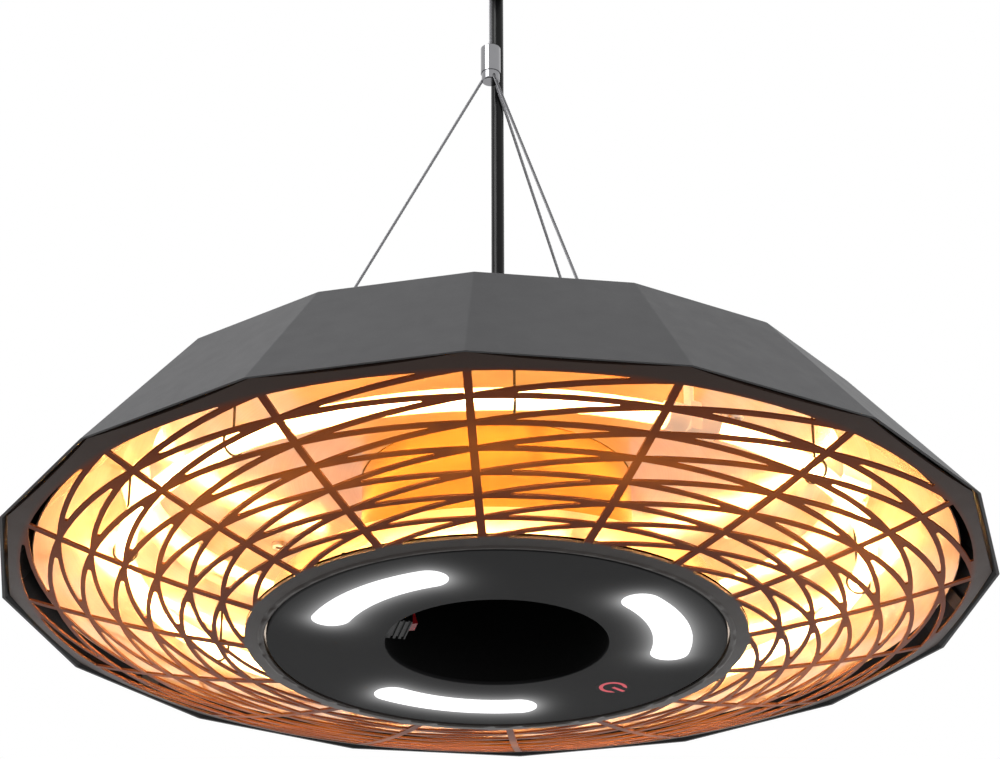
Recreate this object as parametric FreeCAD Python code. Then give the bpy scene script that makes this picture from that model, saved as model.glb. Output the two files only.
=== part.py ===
import FreeCAD, Part
import math
import os

# Infrared ceiling heater. Millimetres, +Z up, origin on the ceiling above the heater's axis.
# Azimuth 0 points to -Y, the front, and grows towards +X.

# Main sizes
ceiling_drop = 448.0
rim_radius = 270.0
rim_corners = 16
shell_height = 79.7
shell_top_radius = 203.5
shell_sheet = 1.2
bend_radius = 4.0

# Clearances
seat_gap = 0.1
run_gap = 0.06
loose_gap = 0.3

# Ceiling fitting
canopy_radius = 45.0
canopy_height = 28.0
canopy_wall = 1.2
canopy_round = 5.0
bracket_inset = 3.8
bracket_width = 22.0
bracket_sheet = 2.5
bracket_ear = 15.0
bracket_bend = 2.0
bracket_hole_pitch = 50.0
bracket_hole_radius = 2.75
canopy_screw_drop = 10.0
stud_radius = 4.0
stud_collar_radius = 7.0
stud_collar_height = 2.0
cap_radius = 5.5
cap_height = 13.0
cap_proud = 3.5
cap_floor = 1.6
cap_round = 1.0
swing_limit = 8.0

# Suspension
wire_x = -2.9
wire_radius = 0.9
wire_ball_radius = 2.4
gripper_radius = 5.9
gripper_height = 18.8
gripper_chamfer = 1.2
gripper_rise = 332.0
gripper_floor = 2.0
nipple_radius = 2.3
nipple_length = 12.0
nipple_proud = 2.3
nipple_travel = 2.0
nipple_round = 0.5
ferrule_radius = 5.4
ferrule_height = 5.8
ferrule_round = 1.0
leg_count = 3
first_leg_azimuth = -95.0
leg_anchor_radius = 139.8
leg_start_radius = 3.2
leg_apex_lift = 4.8
anchor_base_radius = 6.0
anchor_base_height = 3.6
anchor_ball_radius = 4.5
anchor_neck_radius = 3.3
anchor_round = 1.0
anchor_stud_radius = 2.5
anchor_stud_length = 7.0
anchor_nut_radius = 4.6
anchor_nut_height = 4.0
terminal_radius = 2.0
terminal_length = 16.0
terminal_floor = 3.0

# Mains cord
cord_x = 0.4
cord_y = 13.0
cord_radius = 3.75
cord_end_rise = 12.0
cord_tail = 12.0
bush_flange_radius = 7.0
bush_neck_radius = 5.8
bush_bore_gap = 0.8
bush_flange_sheet = 1.4
boot_length = 32.0
boot_base_radius = 7.4
boot_tip_radius = 5.2
boot_grooves = 5
boot_groove_width = 2.0
boot_groove_depth = 0.6
gland_nut_radius = 10.0
gland_nut_height = 12.0
gland_thread_radius = 7.6
gland_reach = 7.0
gland_lock_height = 5.0

# Junction box
box_room = 14.0
box_height = 30.0
box_wall = 2.2
box_flange = 10.0
box_flange_sheet = 2.6
box_round = 5.0
cable_hole_radius = 16.0
screw_radius = 2.0
screw_head_radius = 4.0
screw_head_height = 2.4
screw_head_round = 0.7
socket_share = 0.5
screw_reach = 6.0
small_screw_radius = 1.25
small_head_radius = 2.6
board_sheet = 1.6
board_pillar_radius = 3.0
board_pillar_height = 8.0
board_length = 76.0
board_depth = 40.0
board_y = -38.0
board_margin = 5.0
relay_length = 24.0
relay_depth = 20.0
relay_height = 15.0
relay_round = 1.0
supply_length = 28.0
supply_height = 12.0
mains_length = 40.0
mains_depth = 18.0
mains_height = 16.0
mains_y = 42.0
mains_ways = 5
mains_hole_radius = 2.4
mains_floor = 5.0
cutout_x = -48.0
cutout_y = 8.0
cutout_radius = 9.0
cutout_height = 7.0
cutout_tab_length = 6.0
cutout_tab_width = 26.0
cutout_tab_sheet = 1.2

# Reflector and drum
reflector_gap = 14.0
reflector_edge_inset = 1.1
reflector_edge_rise = 5.0
reflector_rise = 62.0
reflector_bevel_height = 8.0
reflector_bevel_width = 15.0
reflector_sheet = 0.8
reflector_clearance = 0.5
spacer_count = 6
spacer_circle = 150.0
spacer_radius = 4.5
drum_room = 12.5
drum_sheet = 0.8
drum_flange = 10.0

# Lamps
lamp_inset = 5.1
lamp_rise = 11.0
quartz_radius = 5.5
quartz_wall = 1.0
filament_radius = 1.4
lamp_gap_azimuth = 31.0
lamp_end_angle = 4.0
lamp_cap_radius = 7.2
lamp_block_width = 6.0
lamp_block_depth = 13.0
lamp_block_height = 15.0
lamp_stem_radius = 2.5
clip_wire_radius = 0.7
clips_per_lamp = 4

# Grille
grille_sheet = 1.2
grille_edge_gap = 4.0
grille_border = 4.9
grille_sag = 2.0
hub_drop = 33.9
rows = 7
strut_width = 2.5
rib_width = 4.1
slit_tip_radius = 0.9
hub_ring_width = 8.9
bead_inset = 0.4
bead_width = 3.0
bead_depth = 0.7
collar_height = 1.4
collar_set_back = 0.05
weld_sink = 0.3
hub_pin_radius = 1.5
hub_pin_inset = 3.5
hub_pin_proud = 1.5
hub_nut_radius = 3.4
hub_nut_height = 2.6
clip_count = 8
clip_width = 14.0
clip_sheet = 1.2
clip_height = 18.0
clip_bend_rise = 4.0

# Hub
panel_gap = 1.2
panel_border = 29.3
panel_recess = 0.3
panel_sheet = 2.0
panel_edge_round = 1.4
recess_edge_round = 0.6
panel_upstand = 2.0
upstand_height = 6.6
panel_post_inset = 11.3
recess_radius = 60.0
cup_wall = 1.5
cup_rise = 46.0
cup_flange = 4.0
tray_sheet = 1.0
tray_inset = 3.5
hub_room = 22.6
tray_flange = 11.5
window_count = 3
first_window_azimuth = -41.5
window_inset = 34.0
window_width = 21.0
window_span = 58.5
lens_lip = 2.0
lens_lip_sheet = 1.0
light_board_margin = 1.5
light_board_gap = 4.5
light_board_lift = 7.0
light_post_radius = 4.0
light_post_inset = 4.5
chips_per_window = 8
chip_size = 3.5
chip_height = 0.8
chip_margin = 6.0
key_azimuth = 138.0
key_inset = 3.0
key_radius = 10.0
key_sheet = 1.2
symbol_radius = 7.8
symbol_line = 2.2
symbol_break = 70.0
symbol_depth = 0.6
sensor_length = 24.0
sensor_width = 16.0
driver_length = 36.0
driver_width = 20.0
driver_height = 8.0
driver_azimuth = 20.0

# Mains switch in the recess
switch_azimuth = -75.0
switch_lift = 12.6
switch_width = 24.0
switch_height = 18.0
switch_depth = 12.0
switch_rib_pitch = 3.0
switch_rib_depth = 1.0
switch_ribs = 3
rocker_width = 10.0
rocker_height = 13.6
rocker_room = 0.9
rocker_pocket_depth = 8.0
rocker_thickness = 4.0
rocker_axle_radius = 1.2
rocker_proud = 3.0
rocker_dip = 1.0
rocker_axle_length = 1.6
rocker_tilt = 8.0

# Derived places
rim_z = -ceiling_drop
top_z = rim_z + shell_height
plate_z = top_z - shell_sheet
corner_angle = 360.0 / rim_corners
half_corner = math.radians(corner_angle / 2)
lamp_z = rim_z + lamp_rise
gripper_z = rim_z + gripper_rise
canopy_z = -canopy_height
sector_low = rim_z - shell_height
sector_top = rim_z + shell_height
cap_z = canopy_z - cap_proud
ball_z = cap_z + cap_floor + wire_ball_radius
bracket_length = 2 * (canopy_radius - canopy_wall - bracket_inset)

# Circles of the hub, from the recess outwards, and of what stands on it
cup_radius = recess_radius + cup_wall
drum_radius = cup_radius + drum_room
box_radius = drum_radius + box_room
window_radius = recess_radius + window_inset
light_board_inner = cup_radius + cup_flange + light_board_gap
light_board_outer = window_radius + window_width / 2 + light_board_margin
light_post_circle = light_board_inner + light_post_inset
key_circle = window_radius - key_inset
panel_radius = window_radius + panel_border
panel_post_circle = panel_radius - panel_post_inset
grille_bore = panel_radius + panel_gap
tray_radius = grille_bore - tray_inset
hub_pin_circle = grille_bore + hub_pin_inset

# The grille's rows, and the ball whose surface its sheet follows
inner_row_radius = grille_bore + hub_ring_width
outer_row_radius = rim_radius * math.cos(half_corner) - grille_edge_gap - grille_border
row_pitch = (outer_row_radius - inner_row_radius) / rows
dome_depth = hub_drop - grille_sag
dome_rise = ((outer_row_radius**2 - grille_bore**2) / dome_depth + dome_depth) / 2
dome_radius = math.hypot(dome_rise, grille_bore)
dome_z = rim_z - hub_drop + dome_rise


def vector(x, y, z):
    return FreeCAD.Vector(x, y, z)


UP = vector(0, 0, 1)


def place(radius, azimuth, z):
    """Point at a radius and azimuth about the heater's axis."""
    angle = math.radians(azimuth)
    return vector(radius * math.sin(angle), -radius * math.cos(angle), z)


def turned(shape, azimuth):
    """Copy of a shape made at the front, turned to an azimuth about the axis."""
    copy = shape.copy()
    copy.rotate(vector(0, 0, 0), UP, azimuth)
    return copy


def round_bar(radius, low, high, x=0.0, y=0.0):
    return Part.makeCylinder(radius, high - low, vector(x, y, low))


def ring(outer, inner, low, high, x=0.0, y=0.0):
    return round_bar(outer, low, high, x, y).cut(round_bar(inner, low, high, x, y))


def rod(start, end, radius):
    line = end - start
    return Part.makeCylinder(radius, line.Length, start, line)


def block(width, depth, height, centre):
    corner = centre - vector(width / 2, depth / 2, 0)
    return Part.makeBox(width, depth, height, corner)


def lathe(points):
    """Solid of revolution of a closed outline of (radius, z) points."""
    corners = [vector(r, 0, z) for r, z in points]
    outline = Part.makePolygon(corners + corners[:1])
    return Part.Face(outline).revolve(vector(0, 0, 0), UP, 360)


def arc_tube(circle, radius, start, end, z):
    """Round bar bent along a circle about the axis, between two azimuths."""
    bar = Part.makeTorus(circle, radius, vector(0, 0, z), UP, -180, 180, end - start)
    bar.rotate(vector(0, 0, 0), UP, start - 90)
    return bar


def circles(shape, z, radius):
    """Circular edges of a shape with one radius at one height."""
    found = []
    for edge in shape.Edges:
        if isinstance(edge.Curve, Part.Circle) and abs(edge.Curve.Radius - radius) < 1e-4:
            if abs(edge.BoundBox.ZMin - z) < 1e-4 and abs(edge.BoundBox.ZMax - z) < 1e-4:
                found.append(edge)
    return found


def rounded(shape, round_radius, z, radius):
    return shape.makeFillet(round_radius, circles(shape, z, radius))


def upright_edges(shape):
    return [edge for edge in shape.Edges if edge.BoundBox.XLength + edge.BoundBox.YLength < 1e-4]


def hexagon(corner_radius, low, high, x, y):
    corners = [vector(x, y, low) + place(corner_radius, 60.0 * k, 0) for k in range(6)]
    return Part.Face(Part.makePolygon(corners + corners[:1])).extrude(vector(0, 0, high - low))


def hole_at(circle, azimuth, radius, low, high):
    spot = place(circle, azimuth, 0)
    return round_bar(radius, low, high, spot.x, spot.y)


def shifted(shape, circle, azimuth):
    """Copy of a shape made on the axis, moved out to a place on a circle."""
    copy = shape.copy()
    copy.translate(place(circle, azimuth, 0))
    return copy


def turned_over(shape, z):
    """Copy of a shape turned upside down about its foot and moved to height z."""
    copy = shape.copy()
    copy.rotate(vector(0, 0, 0), vector(1, 0, 0), 180)
    copy.translate(vector(0, 0, z))
    return copy


def sheet_outline(points, thickness):
    """Closed outline of a sheet that follows (radius, z) points and lies to their right."""
    lines = []
    for (r1, z1), (r2, z2) in zip(points, points[1:]):
        length = math.hypot(r2 - r1, z2 - z1)
        along = ((r2 - r1) / length, (z2 - z1) / length)
        lines.append(((r1 + along[1] * thickness, z1 - along[0] * thickness), along))
    back = [lines[0][0]]
    for (start, along), (other, across) in zip(lines, lines[1:]):
        turn = along[0] * across[1] - along[1] * across[0]
        reach = ((other[0] - start[0]) * across[1] - (other[1] - start[1]) * across[0]) / turn
        back.append((start[0] + along[0] * reach, start[1] + along[1] * reach))
    last = lines[-1][1]
    back.append((points[-1][0] + last[1] * thickness, points[-1][1] - last[0] * thickness))
    return points + back[::-1]


def bean(width, span, low, high):
    """Curved slot with round ends, centred at the front on the window circle."""
    half = width / 2
    bend = span / 2 - math.degrees(half / window_radius)
    tip = span / 2
    outer = Part.Arc(place(window_radius + half, -bend, low), place(window_radius + half, 0, low),
                     place(window_radius + half, bend, low))
    right = Part.Arc(place(window_radius + half, bend, low), place(window_radius, tip, low),
                     place(window_radius - half, bend, low))
    inner = Part.Arc(place(window_radius - half, bend, low), place(window_radius - half, 0, low),
                     place(window_radius - half, -bend, low))
    left = Part.Arc(place(window_radius - half, -bend, low), place(window_radius, -tip, low),
                    place(window_radius + half, -bend, low))
    edges = [curve.toShape() for curve in (outer, right, inner, left)]
    return Part.Face(Part.Wire(edges)).extrude(vector(0, 0, high - low))


def screw(z, length, radius=screw_radius, head=screw_head_radius):
    """Socket-head screw standing on height z, with its shank going down."""
    high = z + screw_head_height
    top = rounded(round_bar(head, z, high), screw_head_round, high, head)
    socket = hexagon(head * socket_share, high - screw_head_height / 2, high, 0, 0)
    return fused([top, round_bar(radius, z - length, z)]).cut(socket)


def fused(shapes):
    return shapes[0].multiFuse(shapes[1:]).removeSplitter()


def cut_all(shape, tools):
    return shape.cut(Part.makeCompound(tools))


def group(shapes):
    return Part.makeCompound(shapes)


def save(name, shape):
    shape.exportStep("parts/" + name + ".step")


def dome_height(radius):
    """Height of the dome's lower face at a radius."""
    return dome_z - math.sqrt(dome_radius**2 - radius**2)


def shell_flat(z):
    """Distance from the axis to the middle of an outer facet at height z."""
    share = (z - rim_z) / shell_height
    corner = rim_radius + (shell_top_radius - rim_radius) * share
    return corner * math.cos(half_corner)


def grille_top(radius):
    """Height of the dome's upper face at a radius."""
    return dome_z - math.sqrt((dome_radius - grille_sheet)**2 - radius**2)


def frustum(low, high, inset):
    """Sixteen-sided solid between two heights, with its facets set in from the shell's."""
    foot = shell_flat(low) - inset
    head = shell_flat(high) - inset
    length = 4 * rim_radius
    corners = [vector(-length / 2, y, z) for y, z in ((-foot, low), (foot, low), (head, high), (-head, high))]
    slab = Part.Face(Part.makePolygon(corners + corners[:1])).extrude(vector(length, 0, 0))
    solid = turned(slab, corner_angle / 2)
    for k in range(1, rim_corners // 2):
        solid = solid.common(turned(slab, corner_angle * (k + 0.5)))
    return solid


def raised_edges(shape, low):
    return [edge for edge in shape.Edges if edge.BoundBox.ZMax > low + bend_radius]


def rib_share(radius):
    """Half of a rib's width at a radius, as a share of a sector."""
    return math.degrees(math.asin(rib_width / 2 / radius)) / corner_angle


def slit(edge, diagonal, base, tip, swell):
    """Slit between an arc of one radius and a diagonal, from a rib to a rounded tip."""
    middle = (base + tip) / 2
    start = place(edge, base * corner_angle, sector_low)
    edge_tip = place(edge, tip * corner_angle, sector_low)
    nose_angle = tip * corner_angle + math.degrees(swell / edge)
    nose = place((edge + diagonal(tip)) / 2, nose_angle, sector_low)
    far_tip = place(diagonal(tip), tip * corner_angle, sector_low)
    far_base = rib_share(diagonal(base)) if base < tip else 1 - rib_share(diagonal(base))
    end = place(diagonal(far_base), far_base * corner_angle, sector_low)
    sides = [Part.Arc(start, place(edge, middle * corner_angle, sector_low), edge_tip),
             Part.Arc(edge_tip, nose, far_tip),
             Part.Arc(far_tip, place(diagonal(middle), middle * corner_angle, sector_low), end)]
    return Part.Face(Part.Wire([side.toShape() for side in sides] + [Part.makeLine(end, start)]))


def slit_pair(low):
    """The two slits of a row above a radius, with a diagonal strut between them."""
    slope = row_pitch / ((low + row_pitch / 2) * 2 * half_corner)
    half_strut = strut_width / 2
    half_diagonal = half_strut * math.hypot(1, slope)
    tip = (2 * slit_tip_radius + half_strut + half_diagonal) / row_pitch
    high = low + row_pitch
    upper = slit(high - half_strut, lambda share: low + row_pitch * share + half_diagonal,
                 rib_share(high - half_strut), 1 - tip, slit_tip_radius)
    lower = slit(low + half_strut, lambda share: low + row_pitch * share - half_diagonal,
                 1 - rib_share(low + half_strut), tip, -slit_tip_radius)
    return [upper, lower]


def dome_sheet():
    """Part of the domed sheet that covers one sector of the grille."""
    inner = tray_radius
    middle = (inner + rim_radius) / 2
    below = [vector(r, 0, dome_height(r)) for r in (inner, middle, rim_radius)]
    above = [vector(r, 0, grille_top(r)) for r in (rim_radius, middle, inner)]
    edges = [Part.Arc(*below).toShape(), Part.makeLine(below[2], above[0]),
             Part.Arc(*above).toShape(), Part.makeLine(above[2], below[0])]
    sheet = Part.Face(Part.Wire(edges)).revolve(vector(0, 0, 0), UP, 2 * corner_angle)
    sheet.rotate(vector(0, 0, 0), UP, -90 - corner_angle / 2)
    return sheet


leg_azimuths = [first_leg_azimuth + k * 360.0 / leg_count for k in range(leg_count)]
window_azimuths = [first_window_azimuth + k * 360.0 / window_count for k in range(window_count)]
spacer_azimuths = [k * 360.0 / spacer_count for k in range(spacer_count)]
quarter_azimuths = [45.0 + 90.0 * k for k in range(4)]
hub_pin_azimuths = [azimuth + corner_angle / 2 for azimuth in quarter_azimuths]
box_screw_circle = box_radius + box_flange / 2
drum_screw_circle = drum_radius + drum_flange / 2
light_post_azimuths = [window + side for window in window_azimuths for side in (30.0, 90.0)]
panel_post_azimuths = [window + 60.0 for window in window_azimuths]

# Ceiling bracket: a strap on the ceiling with two ears that hold the canopy.
os.makedirs("parts", exist_ok=True)
ear_x = (bracket_length - bracket_sheet) / 2
strap = block(bracket_length, bracket_width, bracket_sheet, vector(0, 0, -bracket_sheet))
ears = [block(bracket_sheet, bracket_width, bracket_ear, vector(side * ear_x, 0, -bracket_ear))
        for side in (-1, 1)]
bracket = fused([strap] + ears)
bends = [edge for edge in bracket.Edges if edge.BoundBox.ZLength + edge.BoundBox.XLength < 1e-4
         and abs(edge.CenterOfMass.x) > ear_x and edge.BoundBox.ZMin > -bracket_sheet / 2]
bracket = bracket.makeFillet(bracket_bend, bends)
bracket_holes = [round_bar(bracket_hole_radius, -bracket_sheet, 0, side * bracket_hole_pitch / 2)
                 for side in (-1, 1)]
side_bore = Part.makeCylinder(screw_radius + seat_gap, 2 * canopy_radius,
                              vector(-canopy_radius, 0, -canopy_screw_drop),
                              vector(1, 0, 0))
save("ceiling_bracket", cut_all(bracket, bracket_holes + [side_bore]))

# Canopy: a round cup that covers the bracket, with one hole for the cap and one for the cord.
canopy_outer = rounded(round_bar(canopy_radius, canopy_z, -loose_gap), canopy_round, canopy_z, canopy_radius)
canopy_inner = round_bar(canopy_radius - canopy_wall, canopy_z + canopy_wall, 0)
canopy_inner = rounded(canopy_inner, canopy_round - canopy_wall, canopy_z + canopy_wall,
                       canopy_radius - canopy_wall)
cap_hole = round_bar(cap_radius + loose_gap, canopy_z, canopy_z + canopy_wall, wire_x)
bush_hole = round_bar(bush_neck_radius + seat_gap, canopy_z, canopy_z + canopy_wall, cord_x, cord_y)
save("ceiling_canopy", cut_all(canopy_outer, [canopy_inner, cap_hole, bush_hole, side_bore]))

canopy_screws = []
for side in (-1, 1):
    side_screw = screw(canopy_radius, canopy_radius - ear_x + bracket_sheet)
    side_screw.rotate(vector(0, 0, 0), vector(0, 1, 0), 90 * side)
    side_screw.translate(vector(0, 0, -canopy_screw_drop))
    canopy_screws.append(side_screw)
save("canopy_screws", group(canopy_screws))

# Bush that lines the cord's hole in the canopy.
bush_low = canopy_z - bush_flange_sheet
bush_top = canopy_z + canopy_wall + bush_flange_sheet
bush = fused([round_bar(bush_neck_radius, bush_low, bush_top, cord_x, cord_y),
              round_bar(bush_flange_radius, bush_low, canopy_z, cord_x, cord_y),
              round_bar(bush_flange_radius, canopy_z + canopy_wall, bush_top, cord_x, cord_y)])
save("cord_bush", bush.cut(round_bar(cord_radius + bush_bore_gap, bush_low, bush_top, cord_x, cord_y)))

# Stud under the bracket and the cap on it, whose ball seat lets the wire swing.
stud_end = ball_z + wire_ball_radius + loose_gap
stud = fused([round_bar(stud_radius, stud_end, -bracket_sheet, wire_x),
              round_bar(stud_collar_radius, -bracket_sheet - stud_collar_height, -bracket_sheet, wire_x)])
save("anchor_stud", stud)
seat_radius = wire_ball_radius + run_gap
flare = wire_radius + loose_gap + (ball_z - cap_z) * math.tan(math.radians(swing_limit))
cap = rounded(round_bar(cap_radius, cap_z, cap_z + cap_height, wire_x), cap_round, cap_z, cap_radius)
cap_cuts = [Part.makeSphere(seat_radius, vector(wire_x, 0, ball_z)),
            round_bar(seat_radius, ball_z, stud_end, wire_x),
            round_bar(stud_radius + run_gap, stud_end, cap_z + cap_height, wire_x),
            Part.makeCone(flare, wire_radius + loose_gap, ball_z - cap_z, vector(wire_x, 0, cap_z))]
save("stud_cap", cut_all(cap, cap_cuts))

# Main wire with its ball end, and the gripper it ends in.
wire_top = ball_z + wire_ball_radius / 2
wire_low = gripper_z + gripper_floor
wire_bore = round_bar(wire_radius + run_gap, wire_low, wire_top, wire_x)
save("wire_ball", Part.makeSphere(wire_ball_radius, vector(wire_x, 0, ball_z)).cut(wire_bore))
save("main_wire", round_bar(wire_radius, wire_low, wire_top, wire_x))
gripper_top = gripper_z + gripper_height
nipple_top = gripper_top + nipple_proud
nipple_low = nipple_top - nipple_length
gripper = round_bar(gripper_radius, gripper_z, gripper_top, wire_x)
gripper = gripper.makeChamfer(gripper_chamfer, circles(gripper, gripper_top, gripper_radius))
nipple_pocket = round_bar(nipple_radius + run_gap, nipple_low - nipple_travel - loose_gap, gripper_top,
                          wire_x)
save("gripper_body", cut_all(gripper, [wire_bore, nipple_pocket]))
nipple = rounded(round_bar(nipple_radius, nipple_low, nipple_top, wire_x), nipple_round, nipple_top,
                 nipple_radius)
save("release_nipple", nipple.cut(wire_bore))

# Three legs from the ferrule to ball anchors on the housing.
apex = vector(wire_x, 0, gripper_z + leg_apex_lift)
ball_rise = anchor_base_height + math.sqrt(anchor_ball_radius**2 - anchor_neck_radius**2)
ferrule = round_bar(ferrule_radius, gripper_z - ferrule_height, gripper_z, wire_x)
ferrule = rounded(ferrule, ferrule_round, gripper_z - ferrule_height, ferrule_radius)
leg_bores = []
terminals = []
anchors = []
anchor_nuts = []
nut_z = plate_z - anchor_nut_height
for number, azimuth in enumerate(leg_azimuths):
    ball = place(leg_anchor_radius, azimuth, top_z + ball_rise)
    line = ball - apex
    share = leg_start_radius / math.hypot(line.x, line.y)
    start = apex + line * share
    along = vector(line.x, line.y, line.z).normalize()
    end = ball - along * (anchor_ball_radius + terminal_floor)
    leg_bores.append(rod(start, end, wire_radius + run_gap))
    save("leg_wire_" + str(number + 1), rod(start, end, wire_radius))
    sleeve = rod(ball, ball - along * (anchor_ball_radius + terminal_length), terminal_radius)
    terminals.append(cut_all(sleeve, [Part.makeSphere(anchor_ball_radius + run_gap, ball), leg_bores[-1]]))
    foot = round_bar(anchor_base_radius, top_z, top_z + anchor_base_height, ball.x, ball.y)
    foot = rounded(foot, anchor_round, top_z + anchor_base_height, anchor_base_radius)
    pin = round_bar(anchor_stud_radius, top_z - anchor_stud_length, top_z, ball.x, ball.y)
    anchors.append(fused([foot, Part.makeSphere(anchor_ball_radius, ball), pin]))
    nut = hexagon(anchor_nut_radius, nut_z, plate_z, ball.x, ball.y)
    anchor_nuts.append(nut.cut(round_bar(anchor_stud_radius + run_gap, nut_z, plate_z, ball.x, ball.y)))
save("leg_ferrule", cut_all(ferrule, leg_bores))
save("leg_terminals", group(terminals))
save("leg_anchors", group(anchors))
save("anchor_nuts", group(anchor_nuts))

# Housing shell: a 16-sided pressed cup, open below.
facet_run = (rim_radius - shell_top_radius) * math.cos(half_corner)
facet_spread = math.hypot(facet_run, shell_height) / shell_height
shell_inset = shell_sheet * facet_spread
shell_outer = frustum(rim_z, top_z, 0.0)
shell_outer = shell_outer.makeFillet(bend_radius, raised_edges(shell_outer, rim_z))
below_rim = rim_z - shell_sheet
shell_inner = frustum(below_rim, plate_z, shell_inset)
shell_inner = shell_inner.makeFillet(bend_radius - shell_sheet, raised_edges(shell_inner, below_rim))
plate_holes = [round_bar(cable_hole_radius, plate_z, top_z)]
for azimuth in leg_azimuths:
    plate_holes.append(hole_at(leg_anchor_radius, azimuth, anchor_stud_radius + seat_gap, plate_z, top_z))
for azimuth in quarter_azimuths:
    plate_holes.append(hole_at(box_screw_circle, azimuth, screw_radius + seat_gap, plate_z, top_z))
    plate_holes.append(hole_at(drum_screw_circle, azimuth, screw_radius + seat_gap, plate_z, top_z))
for azimuth in spacer_azimuths:
    plate_holes.append(hole_at(spacer_circle, azimuth, screw_radius + seat_gap, plate_z, top_z))
save("housing_shell", cut_all(shell_outer, [shell_inner] + plate_holes))

# Junction box on the top plate, with the cord's gland, boot and the wiring inside.
roof_z = top_z + box_height
roof_under = roof_z - box_wall
box = rounded(round_bar(box_radius, top_z, roof_z), box_round, roof_z, box_radius)
box_hollow = rounded(round_bar(box_radius - box_wall, top_z, roof_under), box_round - box_wall, roof_under,
                     box_radius - box_wall)
box = fused([box, round_bar(box_radius + box_flange, top_z, top_z + box_flange_sheet)])
box_cuts = [box_hollow, round_bar(gland_thread_radius + seat_gap, roof_under, roof_z, cord_x, cord_y)]
for azimuth in quarter_azimuths:
    box_cuts.append(hole_at(box_screw_circle, azimuth, screw_radius + seat_gap, top_z,
                            top_z + box_flange_sheet))
save("junction_box", cut_all(box, box_cuts))
box_screw = screw(top_z + box_flange_sheet, box_flange_sheet + screw_reach)
save("box_screws", group([shifted(box_screw, box_screw_circle, azimuth) for azimuth in quarter_azimuths]))

cord_bore = round_bar(cord_radius + seat_gap, plate_z, canopy_z, cord_x, cord_y)
gland_top = roof_z + gland_nut_height
gland = fused([hexagon(gland_nut_radius, roof_z, gland_top, cord_x, cord_y),
               round_bar(gland_thread_radius, roof_under - gland_reach, roof_z, cord_x, cord_y)])
save("cable_gland", gland.cut(cord_bore))
gland_nut = hexagon(gland_nut_radius, roof_under - gland_lock_height, roof_under, cord_x, cord_y)
save("gland_nut", gland_nut.cut(round_bar(gland_thread_radius + run_gap, plate_z, roof_z, cord_x, cord_y)))
boot = Part.makeCone(boot_base_radius, boot_tip_radius, boot_length, vector(cord_x, cord_y, gland_top))
boot_cuts = [cord_bore]
for step in range(boot_grooves):
    groove_z = gland_top + boot_length * (step + 1) / (boot_grooves + 1)
    groove_floor = boot_tip_radius - boot_groove_depth
    boot_cuts.append(ring(boot_base_radius, groove_floor, groove_z, groove_z + boot_groove_width,
                          cord_x, cord_y))
save("cord_boot", cut_all(boot, boot_cuts))
save("power_cord", round_bar(cord_radius, roof_under - cord_tail, canopy_z + cord_end_rise, cord_x, cord_y))

board_low = top_z + board_pillar_height
pillars = []
for x in (-1, 1):
    for y in (-1, 1):
        pillars.append(round_bar(board_pillar_radius, top_z, board_low, x * (board_length / 2 - board_margin),
                                 board_y + y * (board_depth / 2 - board_margin)))
save("board_pillars", group(pillars))
save("control_board", block(board_length, board_depth, board_sheet, vector(0, board_y, board_low)))
board_top = board_low + board_sheet
relay = block(relay_length, relay_depth, relay_height,
              vector(relay_length / 2 + board_margin, board_y, board_top))
save("relay", relay.makeFillet(relay_round, upright_edges(relay)))
supply = block(supply_length, relay_depth, supply_height,
               vector(-supply_length / 2 - board_margin, board_y, board_top))
save("supply_module", supply.makeFillet(relay_round, upright_edges(supply)))
mains_block = block(mains_length, mains_depth, mains_height, vector(0, mains_y, top_z))
mains_holes = []
for step in range(mains_ways):
    way_x = mains_length * ((step + 0.5) / mains_ways - 0.5)
    mains_holes.append(round_bar(mains_hole_radius, top_z + mains_floor, top_z + mains_height, way_x,
                                 mains_y))
save("terminal_block", cut_all(mains_block, mains_holes))
cutout = fused([round_bar(cutout_radius, top_z, top_z + cutout_height, cutout_x, cutout_y),
                block(cutout_tab_length, cutout_tab_width, cutout_tab_sheet,
                      vector(cutout_x, cutout_y, top_z))])
save("thermal_cutout", cutout)

# Reflector dish above the lamps, hung on spacers under the top plate.
crown_z = rim_z + reflector_rise
shoulder_z = crown_z - reflector_bevel_height
reflector_radius = shell_flat(rim_z) - shell_inset - reflector_gap - reflector_edge_inset
shoulder_radius = shell_flat(shoulder_z) - shell_inset - reflector_gap
dish_face = [(reflector_radius, rim_z + reflector_edge_rise),
             (shoulder_radius, shoulder_z),
             (shoulder_radius - reflector_bevel_width, crown_z),
             (drum_radius + reflector_clearance, crown_z)]
dish_top = crown_z + reflector_sheet
dish = lathe(sheet_outline(dish_face, reflector_sheet))
over_dish = lathe(dish_face + [(drum_radius + reflector_clearance, top_z), (reflector_radius, top_z)])
dish_holes = [hole_at(spacer_circle, azimuth, screw_radius + seat_gap, dish_top - reflector_sheet, dish_top)
              for azimuth in spacer_azimuths]
save("reflector", cut_all(dish, dish_holes))
spacer = ring(spacer_radius, screw_radius + run_gap, dish_top, plate_z)
save("reflector_spacers", group([shifted(spacer, spacer_circle, azimuth) for azimuth in spacer_azimuths]))
spacer_screw = screw(top_z, shell_sheet + screw_reach)
save("spacer_screws", group([shifted(spacer_screw, spacer_circle, azimuth) for azimuth in spacer_azimuths]))
dish_screw = turned_over(screw(0.0, reflector_sheet + screw_reach), dish_top - reflector_sheet)
save("reflector_screws", group([shifted(dish_screw, spacer_circle, azimuth) for azimuth in spacer_azimuths]))

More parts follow.
